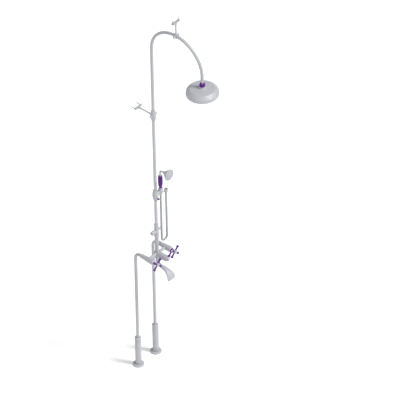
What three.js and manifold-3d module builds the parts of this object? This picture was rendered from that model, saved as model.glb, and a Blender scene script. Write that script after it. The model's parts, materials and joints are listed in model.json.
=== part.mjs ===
// Floor-standing bath and shower mixer with an overhead rose, a hand shower on a slider, and two stays.
// Millimetres, +Z up. The origin is on the floor, midway between the two standpipes. The user stands at -Y,
// the wall is at +Y, and "left" and "right" are the user's, at -X and +X.
import * as THREE from "three";
import { mergeVertices } from "three/addons/utils/BufferGeometryUtils.js";
import Module from "manifold-3d";

const wasm = await Module();
wasm.setup();

// ---- Driving dimensions ----
const GAP = 0.3; // between two pieces that touch
const ROUND = 16; // sides of a turned piece
const SMALL_ROUND = 10; // sides of a small turned piece
const PIPE_SIDES = 16;
const BORE_SIDES = 8;

const HALF_SPACING = 75; // the standpipes' centres are 150 apart
const PIPE_R = 9.4;
const PIPE_WALL = 1.2;
const PIPE_HOLE_R = 9.8; // bore of anything that a pipe passes through
const ELBOW_R = 40;

const FLANGE_R = 34;
const FLANGE_HEIGHT = 9;
const SHROUD_R = 18;
const SHROUD_TOP = 206;

const VALVE_Z = 842; // axis of the two valve barrels and of the diverter barrel
const RISER_Y = -99; // the riser and the mixer's crossbar
const BARREL_BACK = 54; // distances forward of the standpipes
const BARREL_FRONT = 135;
const HANDLE_FORWARD = 168;
const LEVER_FORWARD = 180;
const HANDLE_REACH = 42.4;

const TEE_Z = 1012;
const TEE_TOP = 1044;
const WALL_COLLAR_Z = 1871;
const ARC_R = 191.5;
const ARC_Z = 2367;
const ROSE_Y = RISER_Y - 2 * ARC_R;
const ROSE_BOTTOM = 2238.5;
const ROSE_R = 96;
const ROSE_PIVOT_Z = 2305;
const CEILING_PLATE_TOP = 2662;
const WALL_PLATE_BACK = 18;

const SLIDER_Z = 1278;
const CRADLE_X = 44;
const HOSE_R = 6.4;
const HOSE_END_X = 89;
const HOSE_NUT_Z = 1247;

// ---- Materials ----
const METAL = { color: 0xbfc2c8, roughness: 0.42, metalness: 0.55 };
const PURPLE = { color: 0x5a2384, roughness: 0.35, metalness: 0.1 };
const PALE = { color: 0xe2e0e8, roughness: 0.4, metalness: 0 };
const HOSE_STEEL = { color: 0xa9abb0, roughness: 0.4, metalness: 0.6 };
const DARK_NYLON = { color: 0x3c3d42, roughness: 0.6, metalness: 0 };

const forward = Math.PI / 2; // a turned piece's +Z to -Y, about X
const part = new THREE.Group();

// ---- Making solids ----
// The geometry as one closed surface with its faces pointing out.
function closed(geometry) {
  const bare = geometry.index ? geometry.toNonIndexed() : geometry.clone();
  bare.deleteAttribute("normal");
  bare.deleteAttribute("uv");
  const merged = mergeVertices(bare, 1e-4);
  const index = Array.from(merged.index.array);
  const at = (i) => new THREE.Vector3().fromBufferAttribute(merged.attributes.position, i);
  const kept = [];
  let volume = 0;
  for (let i = 0; i < index.length; i += 3) {
    const [a, b, c] = index.slice(i, i + 3);
    if (a === b || b === c || a === c) continue;
    kept.push(a, b, c);
    volume += at(a).dot(at(b).cross(at(c)));
  }
  if (volume < 0) kept.reverse();
  merged.setIndex(kept);
  return merged;
}

function toSolid(geometry) {
  const g = closed(geometry);
  const mesh = new wasm.Mesh({
    numProp: 3,
    vertProperties: new Float32Array(g.attributes.position.array),
    triVerts: new Uint32Array(g.index.array),
  });
  return new wasm.Manifold(mesh);
}

function toGeometry(solid) {
  const mesh = solid.getMesh();
  const geometry = new THREE.BufferGeometry();
  geometry.setAttribute("position", new THREE.BufferAttribute(mesh.vertProperties.slice(), 3));
  geometry.setIndex(new THREE.BufferAttribute(mesh.triVerts.slice(), 1));
  return geometry;
}

const join = (...shapes) => toGeometry(shapes.map(toSolid).reduce((a, b) => a.add(b)));

const cut = (body, ...tools) => toGeometry(tools.map(toSolid).reduce((a, b) => a.subtract(b), toSolid(body)));

// A profile of [radius, height] points turned round the Z axis.
function turned(profile, sides = ROUND) {
  const points = profile.map(([r, z]) => new THREE.Vector2(r, z));
  return closed(new THREE.LatheGeometry(points, sides).rotateX(Math.PI / 2));
}

// A plain cylinder from one height to another.
const rod = (radius, from, to, sides = ROUND) =>
  turned([[0, from], [radius, from], [radius, to], [0, to]], sides);

// A turned ring with a straight bore.
const ring = (bore, outline, sides = ROUND) => {
  const from = outline[0][1];
  const to = outline[outline.length - 1][1];
  return turned([[bore, from], ...outline, [bore, to], [bore, from]], sides);
};

// An olive outline, [radius, height] points from one end to the other.
function olive(endR, middleR, halfLength, middle, steps = 8) {
  const points = [];
  for (let i = 0; i <= steps; i++) {
    const s = (2 * i) / steps - 1;
    points.push([endR + (middleR - endR) * Math.cos((s * Math.PI) / 2), middle + s * halfLength]);
  }
  return points;
}

// A route whose sections sit on its own points, so that a straight run costs one step.
class Route extends THREE.Curve {
  constructor(points) {
    super();
    this.points = points;
  }

  getUtoTmapping(u) {
    return u;
  }

  getPoint(t, target = new THREE.Vector3()) {
    const place = t * (this.points.length - 1);
    const index = Math.min(Math.floor(place), this.points.length - 2);
    return target.copy(this.points[index]).lerp(this.points[index + 1], place - index);
  }

  getTangent(t, target = new THREE.Vector3()) {
    const last = this.points.length - 1;
    const index = Math.round(t * last);
    target.set(0, 0, 0);
    for (const from of [Math.max(index - 1, 0), Math.min(index, last - 1)])
      target.add(this.points[from + 1].clone().sub(this.points[from]).normalize());
    return target.normalize();
  }
}

function circle(radius, sides) {
  const points = [];
  for (let i = 0; i < sides; i++) {
    const angle = (2 * Math.PI * i) / sides;
    points.push(new THREE.Vector2(radius * Math.cos(angle), radius * Math.sin(angle)));
  }
  return points;
}

// A tube along a route. A wall of 0 makes it solid.
function tube(points, radius, wall = 0, sides = PIPE_SIDES) {
  const section = new THREE.Shape(circle(radius, sides));
  if (wall) section.holes.push(new THREE.Path(circle(radius - wall, BORE_SIDES)));
  const steps = points.length - 1;
  return closed(new THREE.ExtrudeGeometry(section, { steps, extrudePath: new Route(points) }));
}

// Points of an arc in the plane x = const. Angles are in degrees, 0 forward (-Y) and 90 up.
function arcPoints(x, y, z, radius, from, to, steps) {
  const points = [];
  for (let i = 0; i <= steps; i++) {
    const angle = THREE.MathUtils.degToRad(from + ((to - from) * i) / steps);
    points.push(new THREE.Vector3(x, y - radius * Math.cos(angle), z + radius * Math.sin(angle)));
  }
  return points;
}

const box = (x0, x1, y0, y1, z0, z1) =>
  new THREE.BoxGeometry(x1 - x0, y1 - y0, z1 - z0).translate((x0 + x1) / 2, (y0 + y1) / 2, (z0 + z1) / 2);

function add(name, geometry, look, place = [0, 0, 0], turn = [0, 0, 0], parent = part) {
  const mesh = new THREE.Mesh(geometry, new THREE.MeshStandardMaterial(look));
  mesh.name = name;
  mesh.position.set(...place);
  mesh.rotation.set(...turn);
  parent.add(mesh);
  return mesh;
}

// ---- Standpipes, shrouds and floor flanges ----
function addLeg(side, x) {
  const flange = ring(PIPE_HOLE_R, [
    [FLANGE_R, 0],
    [FLANGE_R, FLANGE_HEIGHT - 2.5],
    [FLANGE_R - 2.5, FLANGE_HEIGHT],
  ], 20);
  add(`floor_flange_${side}`, flange, METAL, [x, 0, 0]);

  const bottom = FLANGE_HEIGHT + GAP;
  const shroud = turned([
    [SHROUD_R - 2, bottom],
    [SHROUD_R, bottom],
    [SHROUD_R, SHROUD_TOP - 2.5],
    [SHROUD_R - 1.5, SHROUD_TOP],
    [PIPE_HOLE_R, SHROUD_TOP],
    [PIPE_HOLE_R, SHROUD_TOP - 4],
    [SHROUD_R - 2, SHROUD_TOP - 4],
    [SHROUD_R - 2, bottom],
  ]);
  add(`shroud_${side}`, shroud, METAL, [x, 0, 0]);

  const bend = arcPoints(x, -ELBOW_R, VALVE_Z - ELBOW_R, ELBOW_R, 180, 90, 6);
  const route = [new THREE.Vector3(x, 0, 0.5), ...bend, new THREE.Vector3(x, -BARREL_BACK - 5.7, VALVE_Z)];
  add(`standpipe_${side}`, tube(route, PIPE_R, PIPE_WALL), METAL);

  const nut = ring(PIPE_HOLE_R, [[12, 43], [14, 45], [14, 51], [13, BARREL_BACK - GAP]]);
  add(`inlet_nut_${side}`, nut, METAL, [x, 0, VALVE_Z], [forward, 0, 0]);
}

// ---- Mixer body: two barrels, crossbar, hub and diverter barrel, with their waterways ----
const MIXER_BOSS_TOP = 862;
const MIXER_BOSS_BOTTOM = 820;
const DIVERTER_FRONT = 172;
const VALVE_BORE = 11.2;
const DIVERTER_BORE = 12;

const along = (geometry, x) => geometry.rotateX(forward).translate(x, 0, VALVE_Z);

function addMixerBody() {
  const outside = [];
  const bores = [];
  for (const x of [-HALF_SPACING, HALF_SPACING]) {
    const inward = -Math.sign(x) * (Math.PI / 2);
    const barrel = [
      [0, BARREL_BACK], [13.6, BARREL_BACK], [13.6, 60], [13, 62],
      [17.4, 112], [17.4, BARREL_FRONT], [0, BARREL_FRONT],
    ];
    const crossbar = [[0, 6], [14.5, 6], [13, 15], [9.6, 26], [9.6, HALF_SPACING], [0, HALF_SPACING]];
    outside.push(
      along(turned(barrel), x),
      turned(crossbar, SMALL_ROUND).rotateY(inward).translate(x, RISER_Y, VALVE_Z),
    );
    bores.push(
      along(rod(PIPE_HOLE_R, BARREL_BACK - 1, 60), x),
      along(rod(5, 59, 116, SMALL_ROUND), x),
      along(rod(VALVE_BORE, 114, BARREL_FRONT + 1), x),
    );
  }
  const hub = turned([
    [0, MIXER_BOSS_BOTTOM], [10.5, MIXER_BOSS_BOTTOM], [11, 826], [18, 833], [19.5, VALVE_Z],
    [18, 851], [11, 857], [11, MIXER_BOSS_TOP], [0, MIXER_BOSS_TOP],
  ]).translate(0, RISER_Y, 0);
  const diverterFace = [[18.6, 99], [18.6, DIVERTER_FRONT - 2], [17, DIVERTER_FRONT]];
  const diverterBarrel = along(turned([[0, 99], ...diverterFace, [0, DIVERTER_FRONT]], 18), 0);
  bores.push(
    along(rod(DIVERTER_BORE, 118, DIVERTER_FRONT + 1), 0),
    along(rod(5, 99, 119, SMALL_ROUND), 0),
    rod(5, -HALF_SPACING, HALF_SPACING, SMALL_ROUND).rotateY(forward).translate(0, RISER_Y, VALVE_Z),
    rod(5.5, MIXER_BOSS_BOTTOM - 1, MIXER_BOSS_TOP + 1, SMALL_ROUND).translate(0, RISER_Y, 0),
  );
  add("mixer_body", cut(join(...outside, hub, diverterBarrel), ...bores), METAL);
}

// ---- Valves: bonnet, spindle, cross-handle hub and four arms ----
function addValve(side, x) {
  const axis = [x, 0, VALVE_Z];
  const turn = [forward, 0, 0];
  const bonnetStart = BARREL_FRONT + GAP;
  const bonnet = ring(4.6, [[15.6, bonnetStart], [15.6, 139], [11.6, 141.5], [9.4, 149], [9.4, 156.5]]);
  add(`bonnet_${side}`, bonnet, METAL, axis, turn);

  const spindle = turned([[0, 118], [10.6, 118], [10.6, 126], [4.1, 127], [4.1, 166], [0, 166]], SMALL_ROUND);
  add(`valve_spindle_${side}`, spindle, METAL, axis, turn);

  const hub = turned([
    [0, 166.6], [4.6, 166.6], [4.6, 157], [8.4, 157],
    [10, 160], [10, 175], [7.5, 178], [0, 179.4],
  ]);
  add(`handle_hub_${side}`, hub, METAL, axis, turn);

  const arm = [[0, 10.4], [5.2, 10.4], [4.8, 14], [5.4, 29], [7.6, 34], [7, 39], [0, HANDLE_REACH]];
  for (let i = 0; i < 4; i++) {
    const spoke = new THREE.Group();
    spoke.position.set(x, -HANDLE_FORWARD, VALVE_Z);
    spoke.rotation.y = (Math.PI / 2) * i + Math.PI / 4;
    part.add(spoke);
    add(`handle_arm_${side}_${i + 1}`, turned(arm, 8), PURPLE, [0, 0, 0], [0, 0, 0], spoke);
  }
}

// ---- Diverter: spindle, turning collar, cap, and a lever with an eye ----
function addDiverter() {
  const axis = [0, 0, VALVE_Z];
  const turn = [forward, 0, 0];
  const spindle = turned([[0, 120], [11.4, 120], [11.4, 130], [4.1, 131], [4.1, 182], [0, 182]], SMALL_ROUND);
  add("diverter_spindle", spindle, METAL, axis, turn);

  const collar = ring(4.5, [[13.4, DIVERTER_FRONT + 0.5], [14.6, 174.5], [14.6, 180.5], [13.4, 182.5]], 16);
  add("diverter_collar", collar, METAL, axis, turn);
  const cap = turned([[0, 182.8], [10, 182.8], [10, 187], [7, 190.5], [0, 192]], 16);
  add("diverter_cap", cap, METAL, axis, turn);

  const eyeX = 35.6;
  const eyeZ = 39.7;
  const lean = Math.atan2(eyeX, eyeZ);
  const reach = Math.hypot(eyeX, eyeZ);
  const stem = [[0, 14.9], [5.2, 15], [8, 19], [7.4, 23.5], [4.8, 27.5], [4.4, 34], [4.8, reach - 11]];
  const lever = turned([...stem, [0, reach - 11]], SMALL_ROUND);
  const eye = turned([[5.8, -3], [9.8, -4], [14, 0], [9.8, 4], [5.8, 3], [5.8, -3]], 14)
    .rotateX(forward).scale(1, 1, 1.2).translate(0, 0, reach);
  const leverGroup = new THREE.Group();
  leverGroup.position.set(0, -LEVER_FORWARD, VALVE_Z);
  leverGroup.rotation.y = lean;
  part.add(leverGroup);
  add("diverter_lever", join(lever, eye), PURPLE, [0, 0, 0], [0, 0, 0], leverGroup);
  const inlay = turned([[0, -1.8], [5.4, -1.8], [5.4, 1.8], [0, 1.8]], 14).rotateX(forward).scale(1, 1, 1.2);
  add("lever_inlay", inlay, PALE, [0, 0, reach], [0, 0, 0], leverGroup);
}

// ---- Spout: a neck that swoops forward and opens into a flat fan ----
const SPOUT_LINE = [
  // forward, height, half width along X, half thickness
  [99, 811, 9.6, 9.6],
  [99, 800, 9.8, 9.8],
  [102, 782, 10, 9.8],
  [111, 769, 10.5, 9.8],
  [128, 762.5, 11.5, 9.6],
  [147, 760, 13.4, 9.4],
  [166, 756, 16.6, 9.2],
  [182, 748.5, 21.2, 9],
  [195, 737, 26, 8.7],
  [203, 723, 29.6, 8.4],
  [206, 708, 31.6, 8],
];

function spoutSkin(shrink, overrun) {
  const sides = 12;
  const centres = SPOUT_LINE.map(([f, z]) => new THREE.Vector3(0, -f, z));
  const positions = [];
  const index = [];
  SPOUT_LINE.forEach(([, , halfWidth, halfThick], k) => {
    const before = centres[Math.max(k - 1, 0)];
    const after = centres[Math.min(k + 1, centres.length - 1)];
    const heading = after.clone().sub(before).normalize();
    const across = new THREE.Vector3(0, -heading.z, heading.y);
    const end = k === 0 ? -overrun : k === centres.length - 1 ? overrun : 0;
    const centre = centres[k].clone().addScaledVector(heading, end);
    for (let i = 0; i < sides; i++) {
      const angle = (2 * Math.PI * i) / sides;
      const p = centre.clone().addScaledVector(across, (halfThick - shrink) * Math.sin(angle));
      positions.push(p.x + (halfWidth - shrink) * Math.cos(angle), p.y, p.z);
    }
  });
  const last = SPOUT_LINE.length - 1;
  for (let k = 0; k < last; k++)
    for (let i = 0; i < sides; i++) {
      const a = k * sides + i;
      const b = k * sides + ((i + 1) % sides);
      index.push(a, b, a + sides, b, b + sides, a + sides);
    }
  for (let i = 1; i < sides - 1; i++) {
    index.push(0, i + 1, i);
    index.push(last * sides, last * sides + i, last * sides + i + 1);
  }
  const skin = new THREE.BufferGeometry();
  skin.setAttribute("position", new THREE.BufferAttribute(new Float32Array(positions), 3));
  skin.setIndex(index);
  return closed(skin);
}

function addSpout() {
  add("spout", cut(spoutSkin(0, 0), spoutSkin(2, 1)), METAL);
  const nut = ring(5.5, [[12.5, 811.5], [13, 813], [13, 818], [12, MIXER_BOSS_BOTTOM - GAP]], SMALL_ROUND);
  add("spout_nut", nut, METAL, [0, RISER_Y, 0]);
}

// ---- Riser union, tee with its knob and hose outlet ----
const TEE_BOTTOM = 949.6;
const BRANCH_END = 16.5;

function addTee() {
  const stack = [0, RISER_Y, 0];
  const union = ring(6, [
    [10.6, MIXER_BOSS_TOP + GAP], [10.6, 912], [12.4, 918],
    [13.6, 924], [13.6, 943], [11.4, TEE_BOTTOM - GAP],
  ], 14);
  add("riser_union", union, METAL, stack);

  const body = turned([
    [0, TEE_BOTTOM], [10.4, TEE_BOTTOM], [10.4, 958], [14.4, 970], [14.4, 988],
    [12.6, 999], [12.6, TEE_TOP - 2], [11.6, TEE_TOP], [0, TEE_TOP],
  ]);
  const branches = rod(9, -BRANCH_END, BRANCH_END).rotateY(forward).translate(0, 0, TEE_Z);
  const tee = cut(
    join(body, branches),
    rod(6, TEE_BOTTOM - 1, 1035, SMALL_ROUND),
    rod(PIPE_HOLE_R, 1034, TEE_TOP + 1, PIPE_SIDES),
    rod(4.6, -BRANCH_END - 1, BRANCH_END + 1, SMALL_ROUND).rotateY(forward).translate(0, 0, TEE_Z),
  );
  add("tee_body", tee, METAL, stack);
  add("tee_gland", ring(PIPE_HOLE_R, [[13.2, TEE_TOP + GAP], [12.8, 1058], [11.4, 1063]]), METAL, stack);

  const knobStart = BRANCH_END + 0.5;
  const knob = turned([
    [0, 8], [4.2, 8], [4.2, knobStart], [11.8, knobStart], [11.8, 40.5], [10.4, 42], [0, 42],
  ]);
  add("tee_knob", knob, METAL, [0, RISER_Y, TEE_Z], [0, -Math.PI / 2, 0]);
  const outlet = ring(3.4, [[9, BRANCH_END + GAP], [8.2, 23], [6, 30], [5.4, 37.4]], SMALL_ROUND);
  add("hose_outlet", outlet, METAL, [0, RISER_Y, TEE_Z], [0, forward, 0]);
}

// ---- Riser pipe and overhead arm ----
function addRiser() {
  const at = (z, y = RISER_Y) => new THREE.Vector3(0, y, z);
  add("riser_pipe", tube([at(1036), at(WALL_COLLAR_Z - GAP)], PIPE_R, PIPE_WALL), METAL);
  const arc = arcPoints(0, RISER_Y - ARC_R, ARC_Z, ARC_R, 180, 0, 18);
  add("overhead_arm", tube([at(WALL_COLLAR_Z + GAP), ...arc, at(2335.5, ROSE_Y)], PIPE_R, PIPE_WALL), METAL);
}

// ---- Stays: collar with two lugs, rod, plate and two screws. Built along +Z from the collar ----
const PLATE_THICK = 4;
const PLATE_WIDTH = 19;
const SCREW_SPACING = 46;

function stayPlate(length) {
  const r = PLATE_WIDTH / 2;
  const flat = length / 2 - r;
  const outline = new THREE.Shape();
  outline.absarc(flat, 0, r, -Math.PI / 2, Math.PI / 2);
  outline.absarc(-flat, 0, r, Math.PI / 2, (3 * Math.PI) / 2);
  for (const x of [-SCREW_SPACING / 2, SCREW_SPACING / 2]) {
    const hole = new THREE.Path(circle(3.3, 8).map((p) => p.add(new THREE.Vector2(x, 0))));
    outline.holes.push(hole);
  }
  const options = { depth: PLATE_THICK, bevelEnabled: false, curveSegments: 5 };
  const plate = new THREE.ExtrudeGeometry(outline, options);
  const boss = turned([[0, -18], [5.2, -18], [7.2, -9], [7.8, 1], [0, 1]], SMALL_ROUND);
  return join(plate, boss);
}

function addStay(name, collar, rodFrom, plateBack, plateLength, screwLength, place, turn) {
  const stay = new THREE.Group();
  stay.position.set(...place);
  stay.rotation.set(...turn);
  part.add(stay);
  add(`${name}_collar`, collar, METAL, [0, 0, 0], [0, 0, 0], stay);
  const plateFront = plateBack - PLATE_THICK;
  add(`${name}_rod`, rod(4.7, rodFrom, plateFront - 18 - GAP, 10), METAL, [0, 0, 0], [0, 0, 0], stay);
  add(`${name}_plate`, stayPlate(plateLength), METAL, [0, 0, plateFront], [0, 0, 0], stay);
  const screw = [[0, -4], [4, -3.4], [5.4, -GAP], [2.8, -GAP], [2.8, screwLength - 5], [0, screwLength]];
  for (const [k, x] of [[1, -SCREW_SPACING / 2], [2, SCREW_SPACING / 2]])
    add(`${name}_screw_${k}`, turned(screw, 8), METAL, [x, 0, plateFront], [0, 0, 0], stay);
}

// A pair of clamp lugs along X.
const lugs = (from, to) =>
  [1, -1].map((way) =>
    turned([[0, from], [7, from], [7, to - 4], [6, to], [0, to]], SMALL_ROUND).rotateY((way * Math.PI) / 2));

function addStays() {
  const wallBody = turned([[0, -38], ...olive(11.4, 17.4, 38, 0, 6), [0, 38]]);
  const wallSocket = rod(6, 8, 18, SMALL_ROUND).rotateX(-forward);
  const wallBore = rod(PIPE_HOLE_R, -39, 39, PIPE_SIDES);
  const wallCollar = cut(join(wallBody, wallSocket, ...lugs(8, 28)), wallBore).rotateX(forward);
  const wallPlace = [0, RISER_Y, WALL_COLLAR_Z];
  addStay("wall_stay", wallCollar, 18.3, WALL_PLATE_BACK - RISER_Y, 64, 40, wallPlace, [-forward, 0, 0]);

  const ceilingBody = turned([[0, -12], ...olive(12.8, 15.2, 12, 0, 4), [0, 12]]).rotateX(forward);
  const ceilingSocket = rod(6, 8, 15, SMALL_ROUND);
  const ceilingBore = rod(11.1, -13, 13, PIPE_SIDES).rotateX(forward);
  const ceilingCollar = cut(join(ceilingBody, ceilingSocket, ...lugs(8, 24)), ceilingBore);
  const arcTop = ARC_Z + ARC_R;
  const ceilingPlace = [0, RISER_Y - ARC_R, arcTop];
  addStay("ceiling_stay", ceilingCollar, 15.3, CEILING_PLATE_TOP - arcTop, 66, 34, ceilingPlace, [0, 0, 0]);
}

// ---- Slider: bush, cradle with a cup for the hand shower and a rest for the hose nut, lock knob ----
const BUSH_R = 11.4;
const LOCK_Z = 1259;
const CUP_BOTTOM = 1262;
const CUP_TOP = 1302;

// A plate of even thickness from its [x, z] outline.
function slab(outline, halfDepth) {
  const shape = new THREE.Shape(outline.map(([x, z]) => new THREE.Vector2(x, z)));
  const plate = new THREE.ExtrudeGeometry(shape, { depth: 2 * halfDepth, bevelEnabled: false });
  return plate.rotateX(forward).translate(0, halfDepth, 0);
}

function addSlider() {
  const stack = [0, RISER_Y, 0];
  const bush = ring(PIPE_HOLE_R, [[BUSH_R, SLIDER_Z - 32], [BUSH_R, SLIDER_Z + 32]]);
  add("slider_bush", bush, DARK_NYLON, stack);

  const body = turned([[0, SLIDER_Z - 38], ...olive(12.2, 18.4, 38, SLIDER_Z, 8), [0, SLIDER_Z + 38]]);
  const arm = slab([[12, 1262], [33, 1268], [33, 1294], [12, 1288]], 7);
  const cup = turned([
    [0, CUP_BOTTOM], [11.5, CUP_BOTTOM], [13.2, CUP_BOTTOM + 6], [13.6, CUP_TOP], [0, CUP_TOP],
  ]).translate(CRADLE_X, 0, 0);
  const cupBore = turned([
    [0, CUP_BOTTOM - 1], [8.4, CUP_BOTTOM - 1], [11, CUP_TOP + 1], [0, CUP_TOP + 1],
  ]).translate(CRADLE_X, 0, 0);
  const restArm = slab([[54, 1262], [80, 1250], [80, 1254.5], [54, 1268]], 2.5);
  const restRing = rod(11.8, HOSE_NUT_Z + 3.5, HOSE_NUT_Z + 9.5).translate(HOSE_END_X, 0, 0);
  const cradle = cut(
    join(body, arm, cup, restArm, restRing),
    rod(PIPE_HOLE_R, SLIDER_Z - 39, SLIDER_Z + 39),
    rod(BUSH_R + GAP, SLIDER_Z - 39, SLIDER_Z + 32 + GAP),
    cupBore,
    rod(8.4, HOSE_NUT_Z + 2, HOSE_NUT_Z + 11).translate(HOSE_END_X, 0, 0),
    box(CRADLE_X - 6, CRADLE_X + 6, 0, 16, CUP_BOTTOM - 1, CUP_TOP + 1),
    rod(2.9, 9, 20, SMALL_ROUND).rotateX(forward).translate(0, 0, LOCK_Z),
  );
  add("cradle", cradle, METAL, stack);

  const knob = turned([
    [0, 11.8], [2.5, 11.8], [2.5, 18.6], [4.6, 19], [6, 22], [5.4, 26], [2.5, 28], [0, 28.3],
  ], SMALL_ROUND);
  add("lock_knob", knob, PURPLE, [0, RISER_Y, LOCK_Z], [forward, 0, 0]);
}

// ---- Hand shower: ferrule in the cup, handle, bell head and face ----
const NECK_R = 5.2;
const NECK_BEND_R = 16;
const NECK_BEND_Z = 1417; // centre of the neck's bend
const BELL_TILT = 3; // degrees above level
const BELL_LENGTH = 57;

function addHandset() {
  const stack = [CRADLE_X, RISER_Y, 0];
  const ferrule = [[5.6, 1254.3], [7.9, 1263.5], [10.4, 1301], [8, 1304.6]];
  add("handset_ferrule", turned([[0, 1254.3], ...ferrule, [0, 1304.6]]), METAL, stack);
  const grip = [[7.6, 1305], [11, 1318], [13.4, 1336], [14.2, 1356], [13.6, 1378], [11.8, 1393]];
  add("handset_handle", turned([[0, 1305], ...grip, [0, 1393]]), PURPLE, stack);

  const bendY = RISER_Y - NECK_BEND_R;
  const bend = arcPoints(CRADLE_X, bendY, NECK_BEND_Z, NECK_BEND_R, 180, 90 + BELL_TILT, 6);
  const tilt = THREE.MathUtils.degToRad(BELL_TILT);
  const heading = new THREE.Vector3(0, -Math.cos(tilt), Math.sin(tilt));
  const start = bend[bend.length - 1];
  const foot = new THREE.Vector3(CRADLE_X, RISER_Y, 1398);
  const neck = tube([foot, ...bend, start.clone().addScaledVector(heading, 4)], NECK_R, 0, 10);
  const collar = turned([[0, 1393.3], [8, 1393.3], [7.4, 1397], [5.6, 1402], [0, 1402]]).translate(...stack);
  const bellTurn = forward - tilt;
  const bell = turned([
    [0, 0], [5.3, 0], [6.4, 10], [10, 20], [18, 30], [26, 40], [32.6, 49], [35, 53.5], [35, BELL_LENGTH],
    [32.4, BELL_LENGTH], [32.4, 54], [21, 37.5], [12, 29], [0, 26],
  ], 24).rotateX(bellTurn).translate(start.x, start.y, start.z);
  add("handset_head", join(neck, collar, bell), METAL);
  const face = turned([[0, 54.3], [32, 54.3], [32, BELL_LENGTH], [0, 58.5]], 24);
  add("handset_face", face, METAL, start.toArray(), [bellTurn, 0, 0]);
}

// ---- Hose: hangs from the hand shower, turns up, and ends in a nut that sits in the cradle's rest ----
const HOSE_ROUTE = [
  // x, y, z
  [44, -99, 1253.8],
  [44, -99, 1235],
  [44, -99, 1205],
  [44, -99, 1175],
  [44, -99, 1145],
  [44, -99, 1115],
  [44, -99, 1085],
  [44, -99, 1055],
  [44, -99, 1025],
  [44, -99, 995],
  [44, -99, 965],
  [44, -99, 940],
  [44, -99, 927],
  [45.7, -99, 918.4],
  [50.6, -99, 911.1],
  [57.9, -99, 906.2],
  [66.5, -99, 904.5],
  [75.1, -99, 906.2],
  [82.4, -99, 911.1],
  [87.3, -99, 918.4],
  [89, -99, 927],
  [89, -99, 940],
  [89, -99, 965],
  [89, -99, 995],
  [89, -99, 1025],
  [89, -99, 1055],
  [89, -99, 1085],
  [89, -99, 1115],
  [89, -99, 1145],
  [89, -99, 1175],
  [89, -99, 1205],
  [89, -99, 1229],
  [89, -99, 1246.7],
];

function addHose() {
  add("hose", tube(HOSE_ROUTE.map((p) => new THREE.Vector3(...p)), HOSE_R, 0, 8), HOSE_STEEL);
  const z = HOSE_NUT_Z;
  const nut = turned([
    [0, z], [6.6, z], [7.6, z + 3.5], [7.9, z + 9.8], [11.2, z + 10], [11.4, z + 20],
    [8, z + 20], [8, z + 11], [3, z + 10], [0, z + 10],
  ]);
  add("hose_nut", nut, METAL, [HOSE_END_X, RISER_Y, 0]);
}

// ---- Overhead rose: ball fitting, swivel nut, dome and spray plate ----
function ballProfile(radius, from, to, steps) {
  const points = [];
  for (let i = 0; i <= steps; i++) {
    const angle = THREE.MathUtils.degToRad(from + ((to - from) * i) / steps);
    points.push([radius * Math.cos(angle), ROSE_PIVOT_Z + radius * Math.sin(angle)]);
  }
  return points;
}

function addRose() {
  const stack = [0, ROSE_Y, 0];
  const fitting = [[6, 2314.5], [6, 2319], [10.2, 2322], [10.2, 2335.2], [0, 2335.2]];
  const ball = turned([[0, 2296], ...ballProfile(9, -80, 48, 5), ...fitting]);
  add("rose_ball", ball, METAL, stack);

  const nut = turned([
    [12.9, 2294.8], [16.8, 2294.8], [17.2, 2298], [16.6, 2307], [14, 2313.5],
    [8.7, 2313.5], [9.3, 2309.5], [9.8, 2307], [9.8, 2300.2], [12.9, 2300.2], [12.9, 2294.8],
  ]);
  add("rose_nut", nut, PURPLE, stack);

  const dome = turned([
    [0, 2295], [9.8, 2295], [9.8, 2299.8], [12.5, 2299.8], [12.5, 2294.4], [18, 2294.4],
    [19, 2292], [19, 2287], [23, 2282.5],
    [73.5, 2277], [93.6, 2258.5], [94.6, ROSE_BOTTOM + 6], [ROSE_R, ROSE_BOTTOM + 5], [ROSE_R, ROSE_BOTTOM],
    [94, ROSE_BOTTOM], [92.6, 2246], [91.8, 2256.5], [72.5, 2273.5], [20, 2279], [0, 2281],
  ], 32);
  add("rose_dome", dome, METAL, stack);
  const spray = [[92, ROSE_BOTTOM + 1.5], [91.6, ROSE_BOTTOM + 5]];
  const plate = turned([[0, ROSE_BOTTOM + 1.5], ...spray, [0, ROSE_BOTTOM + 5]], 32);
  add("rose_plate", plate, METAL, stack);
}

for (const [side, x] of [["left", -HALF_SPACING], ["right", HALF_SPACING]]) {
  addLeg(side, x);
  addValve(side, x);
}
addMixerBody();
addDiverter();
addSpout();
addTee();
addRiser();
addStays();
addSlider();
addHandset();
addHose();
addRose();

export default part;
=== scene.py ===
import json
import math

import bmesh
import bpy
from mathutils import Matrix, Vector


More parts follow.
